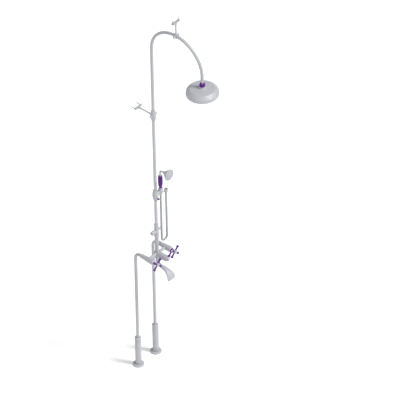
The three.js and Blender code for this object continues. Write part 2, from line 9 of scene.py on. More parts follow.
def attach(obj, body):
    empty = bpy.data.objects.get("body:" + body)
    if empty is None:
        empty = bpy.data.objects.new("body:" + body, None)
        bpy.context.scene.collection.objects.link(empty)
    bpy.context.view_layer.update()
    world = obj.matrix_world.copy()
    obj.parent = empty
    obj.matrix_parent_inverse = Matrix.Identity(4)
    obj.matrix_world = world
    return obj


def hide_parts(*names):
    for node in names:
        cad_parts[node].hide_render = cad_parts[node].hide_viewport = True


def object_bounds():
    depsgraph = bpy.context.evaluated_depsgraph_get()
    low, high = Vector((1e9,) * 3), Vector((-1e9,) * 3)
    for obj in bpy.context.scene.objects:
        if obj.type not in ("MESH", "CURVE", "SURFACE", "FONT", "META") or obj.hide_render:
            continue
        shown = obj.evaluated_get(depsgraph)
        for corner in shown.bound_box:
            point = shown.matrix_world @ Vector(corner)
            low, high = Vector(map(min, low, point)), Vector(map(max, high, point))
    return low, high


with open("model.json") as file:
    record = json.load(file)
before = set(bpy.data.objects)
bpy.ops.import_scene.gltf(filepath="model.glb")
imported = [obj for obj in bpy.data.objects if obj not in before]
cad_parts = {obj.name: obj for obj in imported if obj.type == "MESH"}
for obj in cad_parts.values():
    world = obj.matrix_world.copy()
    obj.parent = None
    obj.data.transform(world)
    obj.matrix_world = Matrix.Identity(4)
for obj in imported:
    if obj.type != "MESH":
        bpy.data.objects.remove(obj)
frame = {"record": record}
CAD_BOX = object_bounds()

# Lengths are in millimetres, with the part's own axes: +Z up, the user at -Y. MM takes them to metres.
MM = 0.001
INLET_X = 75
RISER_Y = -99
VALVE_Z = 842
TEE_Z = 1012
WALL_COLLAR_Z = 1871
WALL_PLATE_BACK = 18
CEILING_PLATE_TOP = 2662
SCREW_X = 23
ARC_R = 191.5
ARC_Z = 2367
ROSE_Y = RISER_Y - 2 * ARC_R
ROSE_PIVOT_Z = 2305
SLIDER_Z = 1278
HANDSET_X = 44
BELL_TILT = 3  # degrees above level
NECK_BEND_R = 16
NECK_BEND_Z = 1417
HOSE_NUT_X = 89
HOSE_NUT_Z = 1247
LOCK_Z = 1259
PIPE_R = 9.4
PIPE_INSIDE_R = 8.2
HOLE_R = 9.8  # of anything that a pipe passes through
HANDLE_REACH = 42.4
HANDLE_FORWARD = 168
ROSE_BOTTOM = 2238.5
FINE = 56  # sides of a large turned piece
SMALL = 32

UP = Matrix.Identity(4)
FORWARD = Matrix.Rotation(math.pi / 2, 4, "X")  # a turned piece's +Z to -Y
BACK = Matrix.Rotation(-math.pi / 2, 4, "X")
RIGHT = Matrix.Rotation(math.pi / 2, 4, "Y")
LEFT = Matrix.Rotation(-math.pi / 2, 4, "Y")

BODY_OF = {n: b for b, ns in frame["record"]["behaviour"]["bodies"].items() for n in ns}
SLOT_OF = {s["node"]: s["material_slot"] for s in frame["record"]["subparts"]}


# ---- Camera: a long lens far off, so that upright pipes stay nearly parallel ----
CAMERA_TURN = (-47.6, 40.2, -1.43)  # azimuth, elevation and roll, in degrees
CAMERA_FAR = 102.9  # metres
CAMERA_RIGHT, CAMERA_UP = 0.3495, 0.8601  # metres from the middle of the box
FRAME_WIDTH = 2.371  # metres across the picture at the mixer
SENSOR = 36


def make_camera():
    azimuth, elevation, roll = (math.radians(v) for v in CAMERA_TURN)
    back = Vector((
        math.sin(azimuth) * math.cos(elevation),
        -math.cos(azimuth) * math.cos(elevation),
        math.sin(elevation),
    ))
    right = Vector((math.cos(azimuth), math.sin(azimuth), 0))
    up = back.cross(right)
    right, up = (
        right * math.cos(roll) + up * math.sin(roll),
        up * math.cos(roll) - right * math.sin(roll),
    )
    data = bpy.data.cameras.new("camera")
    data.sensor_width = SENSOR
    data.lens = SENSOR * CAMERA_FAR / FRAME_WIDTH
    data.clip_start, data.clip_end = 1, 400
    camera = bpy.data.objects.new("camera", data)
    bpy.context.scene.collection.objects.link(camera)
    middle = (CAD_BOX[0] + CAD_BOX[1]) / 2
    place = right * CAMERA_RIGHT + up * CAMERA_UP + back * (CAMERA_FAR + middle.dot(back))
    camera.matrix_world = Matrix.Translation(place) @ Matrix((right, up, back)).transposed().to_4x4()
    bpy.context.scene.camera = camera


# ---- Materials ----
def nodes_of(name):
    material = bpy.data.materials.new(name)
    material.use_nodes = True
    tree = material.node_tree
    return material, tree, tree.nodes["Principled BSDF"]


def noise(tree, scale, detail=3.0, stretch=(1, 1, 1)):
    coordinates = tree.nodes.new("ShaderNodeTexCoord")
    mapping = tree.nodes.new("ShaderNodeMapping")
    mapping.inputs["Scale"].default_value = stretch
    texture = tree.nodes.new("ShaderNodeTexNoise")
    texture.inputs["Scale"].default_value = scale
    texture.inputs["Detail"].default_value = detail
    tree.links.new(coordinates.outputs["Object"], mapping.inputs["Vector"])
    tree.links.new(mapping.outputs["Vector"], texture.inputs["Vector"])
    return texture.outputs["Fac"]


def spread(tree, value, low, high, start=0.35, end=0.65):
    node = tree.nodes.new("ShaderNodeMapRange")
    node.inputs["From Min"].default_value = start
    node.inputs["From Max"].default_value = end
    node.inputs["To Min"].default_value = low
    node.inputs["To Max"].default_value = high
    tree.links.new(value, node.inputs["Value"])
    return node.outputs["Result"]


def mixed(tree, factor, first, second):
    node = tree.nodes.new("ShaderNodeMix")
    node.data_type = "RGBA"
    for socket, value in ((6, first), (7, second)):
        if isinstance(value, tuple):
            node.inputs[socket].default_value = (*value, 1)
        else:
            tree.links.new(value, node.inputs[socket])
    tree.links.new(factor, node.inputs[0])
    return node.outputs[2]


def finish_of(name, colour, dark, rough, metallic=0.0, grain=700, bump=0.05, wear=None, coat=0.0,
              brushed=(1, 1, 1), shine=0.5):
    """A surface with slow colour drift, fine grain in its roughness and bump, and paler worn edges."""
    material, tree, shader = nodes_of(name)
    drift = spread(tree, noise(tree, 9, 4), 0, 1)
    base = mixed(tree, drift, colour, dark)
    if wear:
        geometry = tree.nodes.new("ShaderNodeNewGeometry")
        edges = spread(tree, geometry.outputs["Pointiness"], 0, 0.55, 0.52, 0.62)
        base = mixed(tree, edges, base, wear)
    tree.links.new(base, shader.inputs["Base Color"])
    grains = noise(tree, grain, 5, brushed)
    smudge = noise(tree, 38, 3)
    total = tree.nodes.new("ShaderNodeMath")
    total.operation = "ADD"
    tree.links.new(spread(tree, grains, -0.05, 0.06), total.inputs[0])
    tree.links.new(spread(tree, smudge, rough - 0.05, rough + 0.07), total.inputs[1])
    tree.links.new(total.outputs[0], shader.inputs["Roughness"])
    relief = tree.nodes.new("ShaderNodeBump")
    relief.inputs["Strength"].default_value = bump
    relief.inputs["Distance"].default_value = 0.0002
    tree.links.new(grains, relief.inputs["Height"])
    tree.links.new(relief.outputs["Normal"], shader.inputs["Normal"])
    shader.inputs["Metallic"].default_value = metallic
    shader.inputs["Specular IOR Level"].default_value = shine
    shader.inputs["Coat Weight"].default_value = coat
    shader.inputs["Coat Roughness"].default_value = 0.12
    material.diffuse_color = (*colour, 1)
    return material


MATERIALS = {
    "satin_metal": finish_of(
        "satin_metal", (0.44, 0.45, 0.48), (0.415, 0.425, 0.455), 0.52, 0.15,
        grain=620, bump=0.06, wear=(0.50, 0.51, 0.54), brushed=(1, 1, 0.12), shine=0.2,
    ),
    "purple_gloss": finish_of(
        "purple_gloss", (0.105, 0.0045, 0.235), (0.088, 0.0035, 0.20), 0.38,
        grain=260, bump=0.05, wear=(0.14, 0.018, 0.28), coat=0.1, shine=0.22,
    ),
    "pale_inlay": finish_of(
        "pale_inlay", (0.74, 0.73, 0.79), (0.68, 0.67, 0.73), 0.36,
        grain=300, coat=0.2, shine=0.3,
    ),
    "dark_nylon": finish_of(
        "dark_nylon", (0.045, 0.045, 0.05), (0.03, 0.03, 0.034), 0.55,
        grain=900, bump=0.15,
    ),
    "hose_steel": finish_of(
        "hose_steel", (0.38, 0.385, 0.41), (0.31, 0.315, 0.34), 0.42, 0.35,
        grain=800, bump=0.06, wear=(0.52, 0.52, 0.54), shine=0.3,
    ),
}
RUBBER = finish_of("nozzle_rubber", (0.30, 0.30, 0.33), (0.24, 0.24, 0.27), 0.6, grain=900, bump=0.12)


# ---- Making pieces ----
def mesh_object(name, vertices, faces):
    mesh = bpy.data.meshes.new(name)
    mesh.from_pydata([Vector(v) * MM for v in vertices], [], faces)
    mesh.update()
    bm = bmesh.new()
    bm.from_mesh(mesh)
    bmesh.ops.remove_doubles(bm, verts=bm.verts, dist=1e-6)
    bmesh.ops.dissolve_degenerate(bm, edges=bm.edges, dist=1e-7)
    bmesh.ops.recalc_face_normals(bm, faces=bm.faces)
    bm.to_mesh(mesh)
    bm.free()
    item = bpy.data.objects.new(name, mesh)
    bpy.context.scene.collection.objects.link(item)
    return item


def lathe(name, profile, axis=UP, place=(0, 0, 0), sides=FINE):
    """A profile of (radius, height) turned about an axis.

    It starts and ends on the axis, or closes on itself.
    """
    turn = Matrix.Translation(Vector(place)) @ axis
    count = len(profile)
    vertices = []
    for k in range(sides):
        angle = 2 * math.pi * k / sides
        for r, z in profile:
            vertices.append(turn @ Vector((r * math.cos(angle), r * math.sin(angle), z)))
    faces = []
    for k in range(sides):
        a, b = k * count, (k + 1) % sides * count
        for i in range(count - 1):
            ring = [a + i, b + i, b + i + 1, a + i + 1]
            if profile[i][0] == 0:
                ring.pop(1)
            elif profile[i + 1][0] == 0:
                ring.pop(2)
            if profile[i][0] or profile[i + 1][0]:
                faces.append(ring)
    return mesh_object(name, vertices, faces)


def ringed(bore, outline):
    return [(bore, outline[0][1]), *outline, (bore, outline[-1][1]), (bore, outline[0][1])]


def capped(outline):
    return [(0, outline[0][1]), *outline, (0, outline[-1][1])]


def rounded(points, steps=4):
    """The points with a smooth curve through them."""
    out = []
    for i in range(len(points) - 1):
        a, b = points[i], points[i + 1]
        before, after = points[max(i - 1, 0)], points[min(i + 2, len(points) - 1)]
        for k in range(steps):
            t = k / steps
            out.append(tuple(
                0.5 * (
                    2 * q + (r - p) * t + (2 * p - 5 * q + 4 * r - s) * t * t
                    + (3 * q - p - 3 * r + s) * t ** 3
                )
                for p, q, r, s in zip(before, a, b, after)
            ))
    return [*out, tuple(points[-1])]


def olive(end_r, middle_r, half, middle, steps=18):
    places = [2 * i / steps - 1 for i in range(steps + 1)]
    return [(end_r + (middle_r - end_r) * math.cos(s * math.pi / 2), middle + s * half) for s in places]


def swept(name, points, radius_at, side, sides=SMALL, hole=0.0):
    """A tube along points in one plane, whose normal is side. radius_at(length along it) gives its radius."""
    points = [Vector(p) for p in points]
    side = Vector(side)
    rows, along = [], 0.0
    for i, point in enumerate(points):
        if i:
            along += (point - points[i - 1]).length
        heading = (points[min(i + 1, len(points) - 1)] - points[max(i - 1, 0)]).normalized()
        rows.append((point, heading.cross(side).normalized(), radius_at(along)))
    skins = [rows] if not hole else [rows, [(p, n, hole) for p, n, _ in reversed(rows)]]
    turns = [2 * math.pi * k / sides for k in range(sides)]
    rings = [
        [p + (side * math.cos(t) + n * math.sin(t)) * r for t in turns]
        for skin in skins for p, n, r in skin
    ]
    faces = []
    count = len(rings)
    for i in range(count if hole else count - 1):
        j = (i + 1) % count
        for k in range(sides):
            m = (k + 1) % sides
            faces.append([i * sides + k, i * sides + m, j * sides + m, j * sides + k])
    if not hole:
        faces += [list(range(sides)), list(range((count - 1) * sides, count * sides))]
    return mesh_object(name, [v for ring in rings for v in ring], faces)


def arc(x, y, z, radius, start, end, steps):
    """Points of an arc in the plane x = const, in degrees: 0 is forward and 90 is up."""
    turns = [math.radians(start + (end - start) * i / steps) for i in range(steps + 1)]
    return [(x, y - radius * math.cos(t), z + radius * math.sin(t)) for t in turns]


def block(name, low, high):
    corners = [(x, y, z) for x in (low[0], high[0]) for y in (low[1], high[1]) for z in (low[2], high[2])]
    faces = [[0, 1, 3, 2], [4, 6, 7, 5], [0, 4, 5, 1], [2, 3, 7, 6], [0, 2, 6, 4], [1, 5, 7, 3]]
    return mesh_object(name, corners, faces)


def use(item, kind, **settings):
    """A modifier, applied at once."""
    modifier = item.modifiers.new(kind.lower(), kind)
    for key, value in settings.items():
        setattr(modifier, key, value)
    with bpy.context.temp_override(object=item, active_object=item, selected_objects=[item]):
        bpy.ops.object.modifier_apply(modifier=modifier.name)


def smooth(item, degrees=32, bevel=0.35):
    """Small rounded edges and smooth shading between them."""
    if bevel:
        use(item, "BEVEL", width=bevel * MM, segments=2, limit_method="ANGLE",
            angle_limit=math.radians(30), use_clamp_overlap=True)
    for polygon in item.data.polygons:
        polygon.use_smooth = True
    item.data.set_sharp_from_angle(angle=math.radians(degrees))
    return item


def cast(name, parts, cuts=(), voxel=0.8, keep=0.3):
    """Solids grown into one casting with soft fillets, with sharp bores cut afterwards."""
    body = parts[0]
    body.name = name
    for other in parts[1:]:
        use(body, "BOOLEAN", object=other, operation="UNION", solver="EXACT")
        bpy.data.objects.remove(other)
    use(body, "REMESH", mode="VOXEL", voxel_size=voxel * MM)
    use(body, "SMOOTH", factor=0.5, iterations=5)
    use(body, "DECIMATE", ratio=keep)
    for tool in cuts:
        use(body, "BOOLEAN", object=tool, operation="DIFFERENCE", solver="EXACT")
        bpy.data.objects.remove(tool)
    for polygon in body.data.polygons:
        polygon.use_smooth = True
    body.data.set_sharp_from_angle(angle=math.radians(40))
    return body


def stands_for(item, node):
    """The piece takes a CAD node's place, its body and its slot's finish."""
    item.data.materials.clear()
    item.data.materials.append(MATERIALS[SLOT_OF[node]])
    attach(item, BODY_OF[node])
    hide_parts(node)
    return item


def added(item, body, slot, material=None):
    """A piece that no CAD node has."""
    item.data.materials.clear()
    item.data.materials.append(material or MATERIALS[slot])
    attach(item, body)


def turned(node, profile, axis=UP, place=(0, 0, 0), sides=FINE, bevel=0.35):
    return stands_for(smooth(lathe(f"{node}_fine", profile, axis, place, sides), bevel=bevel), node)


# ---- The hose: a wound metal tube down from the hand shower and up to its nut ----
HOSE_ROUTE = [
    # x, y, z
    (44, -99, 1253.8), (44, -99, 1235), (44, -99, 1205), (44, -99, 1175), (44, -99, 1145), (44, -99, 1115),
    (44, -99, 1085), (44, -99, 1055), (44, -99, 1025), (44, -99, 995), (44, -99, 965), (44, -99, 940),
    (44, -99, 927), (45.7, -99, 918.4), (50.6, -99, 911.1), (57.9, -99, 906.2), (66.5, -99, 904.5),
    (75.1, -99, 906.2), (82.4, -99, 911.1), (87.3, -99, 918.4), (89, -99, 927), (89, -99, 940),
    (89, -99, 965), (89, -99, 995), (89, -99, 1025), (89, -99, 1055), (89, -99, 1085), (89, -99, 1115),
    (89, -99, 1145), (89, -99, 1175), (89, -99, 1205), (89, -99, 1229), (89, -99, 1246.7),
]


def spaced(points, step):
    """Points every step along a smooth curve through the given ones."""
    curve = [Vector(p) for p in rounded(points, 12)]
    out, left = [curve[0]], step
    for a, b in zip(curve, curve[1:]):
        length = (b - a).length
        while left <= length:
            out.append(a.lerp(b, left / length))
            left += step
        left -= length
    return [*out, curve[-1]]


def make_hose():
    step, pitch, radius, groove = 0.75, 3.0, 6.4, 0.42

    def wound(along):
        return radius - groove * (0.5 + 0.5 * math.cos(2 * math.pi * along / pitch)) ** 3

    route = spaced(HOSE_ROUTE, step)
    hose = swept("hose_wound", route, wound, (0, 1, 0), sides=18)
    smooth(hose, 180, 0)
    stands_for(hose, "hose")
    z = HOSE_NUT_Z
    nut = turned("hose_nut", [
        (0, z), (6.6, z), (7.6, z + 3.5), (7.9, z + 9.8), (11.2, z + 10), (11.4, z + 12), (11.4, z + 20),
        (8, z + 20), (8, z + 11), (3, z + 10), (0, z + 10),
    ], place=(HOSE_NUT_X, RISER_Y, 0))


# ---- Legs ----
def make_legs():
    for side, x in (("left", -INLET_X), ("right", INLET_X)):
        at = (x, 0, 0)
        flange = [(34, 0), (34, 4.5), (33.2, 6.2), (30, 7.6), (24, 8.6), (20, 9)]
        turned(f"floor_flange_{side}", ringed(HOLE_R, flange), place=at, sides=72)
        turned(f"shroud_{side}", [
            (16, 9.3), (18, 9.3), (18.2, 181), (17.6, 181.6), (17.6, 183), (18.9, 183.6), (18.9, 200),
            (18.3, 203.5), (16.4, 206), (HOLE_R, 206), (HOLE_R, 202), (16, 202), (16, 9.3),
        ], place=at)
        route = [(x, 0, 0.5), (x, 0, 400), *arc(x, -40, VALVE_Z - 40, 40, 180, 90, 28), (x, -59.7, VALVE_Z)]
        pipe = swept(f"standpipe_{side}_fine", route, lambda s: PIPE_R, (1, 0, 0), 36, hole=PIPE_INSIDE_R)
        stands_for(smooth(pipe, 40, 0), f"standpipe_{side}")
        nut = [(12, 43), (13.6, 44.6), (14, 46), (14, 51.5), (13, 53.7)]
        turned(f"inlet_nut_{side}", ringed(HOLE_R, nut), FORWARD, (x, 0, VALVE_Z))


# ---- Mixer: body, bonnets, handles and diverter ----
def make_mixer():
    parts = []
    for x in (-INLET_X, INLET_X):
        barrel = rounded([
            (13.6, 54), (13.6, 59), (13, 62.5), (13.9, 74), (15.8, 94), (17.3, 112), (17.4, 124), (17.4, 135),
        ], 3)
        parts.append(lathe("barrel", capped(barrel), FORWARD, (x, 0, VALVE_Z), 48))
        arm = rounded([(14.5, 6), (13, 15), (10.6, 21), (9.6, 30), (9.6, INLET_X)], 4)
        parts.append(lathe("crossbar", capped(arm), LEFT if x < 0 else RIGHT, (0, RISER_Y, VALVE_Z), 40))
    hub = rounded([
        (10.5, 820), (11, 826), (15.5, 830.5), (18.6, 836), (19.5, VALVE_Z),
        (18.6, 848), (15, 854), (11, 858), (11, 862),
    ], 3)
    parts.append(lathe("hub", capped(hub), UP, (0, RISER_Y, 0), 48))
    diverter = [(18.6, 99), (18.6, 170.2), (17.2, 172)]
    parts.append(lathe("diverter_barrel", capped(diverter), FORWARD, (0, 0, VALVE_Z), 48))
    # across, radius, from, to, sides
    drilled = [(x, 11.2, 114, 136, 40) for x in (-INLET_X, INLET_X)]
    drilled += [(x, HOLE_R, 50, 60, 32) for x in (-INLET_X, INLET_X)]
    drilled.append((0, 12, 118, 173, 40))
    bores = [
        lathe("bore", capped([(radius, start), (radius, end)]), FORWARD, (x, 0, VALVE_Z), sides)
        for x, radius, start, end, sides in drilled
    ]
    stands_for(cast("mixer_body_cast", parts, bores), "mixer_body")

    for side, x in (("left", -INLET_X), ("right", INLET_X)):
        at = (x, 0, VALVE_Z)
        turned(f"bonnet_{side}", ringed(4.6, [
            (15.6, 135.3), (15.6, 138.6), (13.9, 139.6), (11.6, 141.6), (10, 145), (9.4, 149), (9.4, 156.5),
        ]), FORWARD, at)
        spindle = [(10.6, 118), (10.6, 126), (4.1, 127), (4.1, 166)]
        turned(f"valve_spindle_{side}", capped(spindle), FORWARD, at, SMALL)
        turned(f"handle_hub_{side}", [
            (0, 166.6), (4.6, 166.6), (4.6, 157), (8.4, 157), (9.6, 158.6), (10, 161), (10, 174),
            (9.4, 176.4), (7.6, 178), (7.2, 177.6), (6.6, 178.2), (3.6, 179.1), (0, 179.4),
        ], FORWARD, at)
        arm = rounded([
            (5.2, 10.4), (4.8, 14), (4.8, 20), (5.3, 28), (6.5, 31.5), (7.6, 34.6), (7.2, 38.4), (4.8, 41.2),
        ], 4)
        arm = [*capped(arm)[:-1], (0, HANDLE_REACH)]
        for i in range(4):
            spoke = Matrix.Rotation(math.pi / 2 * i + math.pi / 4, 4, "Y")
            turned(f"handle_arm_{side}_{i + 1}", arm, spoke, (x, -HANDLE_FORWARD, VALVE_Z), SMALL, 0.2)


def make_diverter():
    at = (0, 0, VALVE_Z)
    spindle = [(11.4, 120), (11.4, 130), (4.1, 131), (4.1, 182)]
    turned("diverter_spindle", capped(spindle), FORWARD, at, SMALL)
    collar = [(13.4, 172.5), (14.6, 174), (14.6, 181), (13.4, 182.5)]
    turned("diverter_collar", ringed(4.5, collar), FORWARD, at)
    cap = [(0, 182.8), (10, 182.8), (10, 187), (9, 189.4), (6.8, 191), (0, 192)]
    turned("diverter_cap", cap, FORWARD, at)

    eye_x, eye_z, lever_forward = 35.6, 39.7, 180
    lean, reach = math.atan2(eye_x, eye_z), math.hypot(eye_x, eye_z)
    axis = Matrix.Rotation(lean, 4, "Y")
    place = (0, -lever_forward, VALVE_Z)
    stem = rounded([(5.2, 15), (8, 19), (7.4, 23.5), (4.8, 27.5), (4.4, 34), (4.8, reach - 11)], 4)
    eye = [(9.9 + 4.1 * math.cos(t), 4 * math.sin(t)) for t in (2 * math.pi * i / 14 for i in range(15))]
    tilt = axis @ Matrix.Translation((0, 0, reach)) @ Matrix.Diagonal((1, 1, 1.2, 1)) @ FORWARD
    lever = cast("diverter_lever_cast", [
        lathe("stem", capped(stem), axis, place, 32),
        lathe("eye", eye, tilt, place, 48),
    ], voxel=0.45, keep=0.35)
    stands_for(lever, "diverter_lever")
    inlay = [(0, -1.8), (4.8, -1.8), (5.4, -0.6), (5.4, 0.6), (4.8, 1.8), (2, 2.2), (0, 2.2)]
    turned("lever_inlay", inlay, tilt, place, 40)


# ---- Spout: a neck that swoops forward and opens into a fan ----
SPOUT_LINE = [
    # forward, height, half width along X, half thickness
    (99, 811, 9.6, 9.6), (99, 800, 9.8, 9.8), (102, 782, 10, 9.8), (111, 769, 10.5, 9.8),
    (128, 762.5, 11.5, 9.6), (147, 760, 13.4, 9.4), (166, 756, 16.6, 9.2), (182, 748.5, 21.2, 9),
    (195, 737, 26, 8.7), (203, 723, 29.6, 8.4), (206, 708, 31.6, 8),
]


def make_spout():
    sides, wall = 48, 1.8
    line = rounded(SPOUT_LINE, 5)
    rows = []
    for i, (forward, height, width, thick) in enumerate(line):
        before, after = line[max(i - 1, 0)], line[min(i + 1, len(line) - 1)]
        heading = Vector((0, before[0] - after[0], after[1] - before[1])).normalized()
        rows.append((Vector((0, -forward, height)), Vector((0, -heading.z, heading.y)), width, thick))
    skins = [(row, 0) for row in rows] + [(row, wall) for row in reversed(rows)]
    vertices, faces = [], []
    for (centre, across, width, thick), inset in skins:
        for k in range(sides):
            angle = 2 * math.pi * k / sides
            u = math.copysign(abs(math.cos(angle)) ** 0.9, math.cos(angle))
            v = math.copysign(abs(math.sin(angle)) ** 0.9, math.sin(angle))
            vertices.append(centre + across * (thick - inset) * v + Vector(((width - inset) * u, 0, 0)))
    for i in range(len(skins) - 1):
        for k in range(sides):
            m = (k + 1) % sides
            faces.append([i * sides + k, i * sides + m, (i + 1) * sides + m, (i + 1) * sides + k])
    last = (len(skins) - 1) * sides
    faces += [list(range(last, last + sides))]
    faces += [[k, (k + 1) % sides, last + (k + 1) % sides, last + k] for k in range(sides)]
    stands_for(smooth(mesh_object("spout_fan", vertices, faces), 50, 0.3), "spout")
    nut = [(12.5, 811.5), (13, 812.5), (13, 818.6), (12, 819.7)]
    turned("spout_nut", ringed(5.5, nut), place=(0, RISER_Y, 0))


# ---- Riser union, tee, riser and overhead arm ----
def make_tee():
    at = (0, RISER_Y, 0)
    neck = rounded([(10.6, 906), (11.4, 912), (12.6, 918), (13.6, 925), (13.6, 938)], 4)
    turned("riser_union", ringed(6, [
        (11.6, 862.3), (11.6, 866), (10.6, 868), *neck, (13, 943), (11.4, 949.3),
    ]), place=at)
    body = rounded([
        (10.4, 949.6), (10.4, 956), (11.8, 961), (13.9, 967), (14.4, 974), (14.3, 986),
        (13.4, 993), (12.6, 999), (12.6, 1010), (12.6, 1042),
    ], 3)
    parts = [lathe("body", capped([*body, (11.6, 1044)]), UP, at, 48)]
    parts.append(lathe("branch", capped([(9, -16.5), (9, 16.5)]), RIGHT, (0, RISER_Y, TEE_Z), 40))
    cuts = [
        lathe("bore", capped([(HOLE_R, 1034), (HOLE_R, 1046)]), UP, at, 32),
        lathe("bore", capped([(4.6, -18), (4.6, 18)]), RIGHT, (0, RISER_Y, TEE_Z), 24),
    ]
    stands_for(cast("tee_cast", parts, cuts, 0.6, 0.35), "tee_body")
    gland = [(13, 1044.3), (13.2, 1046), (12.8, 1058), (12.3, 1061), (11.4, 1063)]
    turned("tee_gland", ringed(HOLE_R, gland), place=at)
    turned("tee_knob", [
        (0, 8), (4.2, 8), (4.2, 17), (11.4, 17), (11.8, 18), (11.8, 40.4),
        (10.8, 42), (8, 42), (7.4, 39.6), (0, 39.2),
    ], LEFT, (0, RISER_Y, TEE_Z))
    outlet = [(9, 16.8), (9, 19.6), *rounded([(8.2, 22), (6.8, 26), (5.9, 31), (5.4, 37.4)], 3)]
    turned("hose_outlet", ringed(3.4, outlet), RIGHT, (0, RISER_Y, TEE_Z))
    for i in range(3):
        start = 31.2 + 2.2 * i
        outline = ringed(5, [(5.9, start), (6.3, start + 0.7), (5.9, start + 1.4)])
        thread = lathe(f"outlet_thread_{i + 1}", outline, RIGHT, (0, RISER_Y, TEE_Z), SMALL)
        added(smooth(thread, bevel=0), "stand", "satin_metal")


def make_riser():
    low = [(0, RISER_Y, 1036), (0, RISER_Y, 1450), (0, RISER_Y, WALL_COLLAR_Z - 0.3)]
    bend = arc(0, RISER_Y - ARC_R, ARC_Z, ARC_R, 180, 0, 84)
    high = [(0, RISER_Y, WALL_COLLAR_Z + 0.3), (0, RISER_Y, 2100), *bend, (0, ROSE_Y, 2335.5)]
    for node, route in (("riser_pipe", low), ("overhead_arm", high)):
        pipe = swept(f"{node}_fine", route, lambda s: PIPE_R, (1, 0, 0), 36, hole=PIPE_INSIDE_R)
        stands_for(smooth(pipe, 40, 0), node)


# ---- Stays ----
def lug(start, end, way):
    """A round ear on one side of a collar: way is 1 for the right and -1 for the left."""
    outline = [(7, start), (7, end - 4), (6.6, end - 1.6), (5.2, end)]
    return lathe("lug", capped(outline), RIGHT if way > 0 else LEFT, (0, 0, 0), 32)


def make_stay(name, body, bore, socket, lug_end, plate_back, plate_length, screw_length, place, turn):
    """A collar, a rod, a plate and its two screws, from the pipe's centre at place towards turn's +Z."""
    here = Matrix.Translation(Vector(place) * MM) @ turn

    def settle(item):
        item.data.transform(here)
        return item

    parts = [body, lathe("socket", capped([(6, 8), (6, socket - 1), (5.4, socket)]), UP, (0, 0, 0), 32)]
    parts += [lug(8, lug_end, way) for way in (1, -1)]
    stands_for(settle(cast(f"{name}_collar_cast", parts, [bore], 0.6, 0.3)), f"{name}_collar")
    plate_front = plate_back - 4
    ends = [(4.7, socket + 0.3), (4.7, plate_front - 18.3)]
    rod = lathe(f"{name}_rod_fine", capped(ends), UP, (0, 0, 0), 28)
    stands_for(settle(smooth(rod)), f"{name}_rod")

    half, r = plate_length / 2 - 9.5, 9.5
    ends = [(half + r * math.sin(t), -r * math.cos(t)) for t in (math.pi * i / 14 for i in range(15))]
    outline = ends + [(-x, -y) for x, y in ends]
    count = len(outline)
    vertices = [(x, y, z) for z in (plate_front, plate_back) for x, y in outline]
    faces = [list(range(count)), list(range(count, 2 * count))]
    faces += [[i, (i + 1) % count, count + (i + 1) % count, count + i] for i in range(count)]
    plate = mesh_object(f"{name}_plate_fine", vertices, faces)
    boss = [(5.2, -18), (6, -13), (7.2, -6), (7.8, 1)]
    boss = lathe("boss", capped(rounded([(r, plate_front + z) for r, z in boss], 4)), UP, (0, 0, 0), 36)
    use(plate, "BOOLEAN", object=boss, operation="UNION", solver="EXACT")
    bpy.data.objects.remove(boss)
    for x in (-SCREW_X, SCREW_X):
        hole = lathe("hole", capped([(3.3, plate_front - 1), (3.3, plate_back + 1)]), UP, (x, 0, 0), 20)
        use(plate, "BOOLEAN", object=hole, operation="DIFFERENCE", solver="EXACT")
        bpy.data.objects.remove(hole)
    stands_for(settle(smooth(plate, 35, 0.3)), f"{name}_plate")

    for k, x in ((1, -SCREW_X), (2, SCREW_X)):
        head = [(0, -4), (2, -3.9), (4, -3.1), (5.4, -1), (5.4, -0.3), (2.8, -0.3)]
        thread = []
        z = 4.4
        while z < screw_length - 6:
            thread += [(2.3, z), (3, z + 0.7)]
            z += 1.4
        profile = [*head, (2.8, 4), *thread, (2.3, screw_length - 5), (0, screw_length)]
        screw = lathe(f"{name}_screw_{k}_fine", profile, UP, (x, 0, plate_front), 24)
        for size in ((2.3, 0.45), (0.45, 2.3)):
            low, high = plate_front - 6, plate_front - 2.6
            slot = block("slot", (x - size[0], -size[1], low), (x + size[0], size[1], high))
            use(screw, "BOOLEAN", object=slot, operation="DIFFERENCE", solver="EXACT")
            bpy.data.objects.remove(slot)
        stands_for(settle(smooth(screw, 30, 0)), f"{name}_screw_{k}")


def make_stays():
    wall_body = lathe("body", capped(olive(11.4, 17.4, 38, 0)), BACK, (0, 0, 0), 48)
    wall_bore = lathe("bore", capped([(HOLE_R, -40), (HOLE_R, 40)]), BACK, (0, 0, 0), 40)
    place = (0, RISER_Y, WALL_COLLAR_Z)
    make_stay("wall_stay", wall_body, wall_bore, 18, 28, WALL_PLATE_BACK - RISER_Y, 64, 40, place, BACK)
    ceiling_body = lathe("body", capped(olive(12.8, 15.2, 12, 0)), FORWARD, (0, 0, 0), 48)
    ceiling_bore = lathe("bore", capped([(11, -14), (11, 14)]), FORWARD, (0, 0, 0), 40)
    top = ARC_Z + ARC_R
    place = (0, RISER_Y - ARC_R, top)
    make_stay("ceiling_stay", ceiling_body, ceiling_bore, 15, 24, CEILING_PLATE_TOP - top, 66, 34, place, UP)


# ---- Slider with its holder, and the lock knob ----
def prism(name, outline, half):
    """An outline of (x, z) with a thickness along Y."""
    count = len(outline)
    vertices = [(x, y, z) for y in (-half, half) for x, z in outline]
    faces = [list(range(count)), list(range(count, 2 * count))]
    faces += [[i, (i + 1) % count, count + (i + 1) % count, count + i] for i in range(count)]
    return mesh_object(name, vertices, faces)


